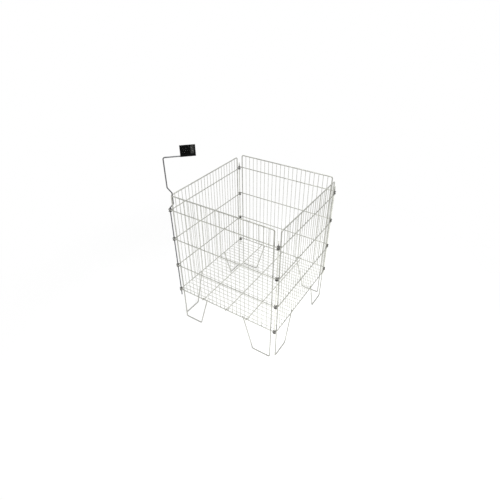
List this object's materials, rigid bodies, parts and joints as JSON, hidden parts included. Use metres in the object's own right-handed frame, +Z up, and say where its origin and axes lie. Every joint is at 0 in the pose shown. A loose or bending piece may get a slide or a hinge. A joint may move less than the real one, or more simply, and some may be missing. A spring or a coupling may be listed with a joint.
{
  "type": "retail dump bin",
  "caption": "Square wire mesh dump bin on bent wire legs, with hinged rod corners, a fold-up base grid and a ticket holder on a wire arm.",
  "frame": {"origin": "centre of the bin on the floor, level with the undersides of the leg loops", "axes": "+Z up, -Y towards the front panel, +X towards the right panel; the sign rod stands at the -X, -Y corner"},
  "size_m": [0.6172, 0.628, 1.02],
  "materials": {
    "frame_wire": "bright plated wire",
    "cross_wire": "bright plated wire",
    "upright_wire": "bright plated wire",
    "rod_wire": "bright plated rod",
    "bearer_wire": "bright plated wire",
    "grid_wire": "bright plated wire",
    "holder_black": "glossy black moulding",
    "window_clear": "clear sheet",
    "ticket_black": "blank black card"
  },
  "bodies": {
    "panels": {"front_frame": "frame_wire", "right_frame": "frame_wire", "rear_frame": "frame_wire", "left_frame": "frame_wire", "front_bottom_wire": "cross_wire", "front_lower_wire": "cross_wire", "front_upper_wire": "cross_wire", "front_top_wire": "cross_wire", "right_bottom_wire": "cross_wire", "right_lower_wire": "cross_wire", "right_upper_wire": "cross_wire", "right_top_wire": "cross_wire", "rear_bottom_wire": "cross_wire", "rear_lower_wire": "cross_wire", "rear_upper_wire": "cross_wire", "rear_top_wire": "cross_wire", "left_bottom_wire": "cross_wire", "left_lower_wire": "cross_wire", "left_upper_wire": "cross_wire", "left_top_wire": "cross_wire", "front_uprights": "upright_wire", "right_uprights": "upright_wire", "rear_uprights": "upright_wire", "left_uprights": "upright_wire"},
    "base_grid": {"base_bearer_left": "bearer_wire", "base_bearer_middle": "bearer_wire", "base_bearer_right": "bearer_wire", "base_grid_wires": "grid_wire"},
    "corner_rod_front_right": {"corner_rod_front_right": "rod_wire"},
    "corner_rod_rear_right": {"corner_rod_rear_right": "rod_wire"},
    "corner_rod_rear_left": {"corner_rod_rear_left": "rod_wire"},
    "sign_rod": {"sign_rod": "rod_wire"},
    "ticket_holder": {"ticket_holder": "holder_black", "ticket_window": "window_clear"},
    "ticket": {"ticket": "ticket_black"}
  },
  "joints": [
    {"name": "base_fold", "type": "hinge", "parent": "panels", "child": "base_grid", "pos_m": [0, -0.3061, 0.206], "axis": [1, 0, 0], "range_deg": [0, 85]},
    {"name": "rod_front_right_pull", "type": "slide", "parent": "panels", "child": "corner_rod_front_right", "axis": [0, 0, 1], "range_m": [0, 0.56]},
    {"name": "rod_rear_right_pull", "type": "slide", "parent": "panels", "child": "corner_rod_rear_right", "axis": [0, 0, 1], "range_m": [0, 0.56]},
    {"name": "rod_rear_left_pull", "type": "slide", "parent": "panels", "child": "corner_rod_rear_left", "axis": [0, 0, 1], "range_m": [0, 0.56]},
    {"name": "sign_swivel", "type": "hinge", "parent": "panels", "child": "sign_rod", "pos_m": [-0.3, -0.3, 0.7], "axis": [0, 0, 1], "range_deg": [-28, 28]},
    {"name": "holder_tilt", "type": "hinge", "parent": "sign_rod", "child": "ticket_holder", "pos_m": [-0.2208, -0.2208, 0.971], "axis": [0.7071, 0.7071, 0], "range_deg": [-90, 90]},
    {"name": "ticket_slide", "type": "slide", "parent": "ticket_holder", "child": "ticket", "axis": [0, 0, 1], "range_m": [0, 0.04]}
  ]
}
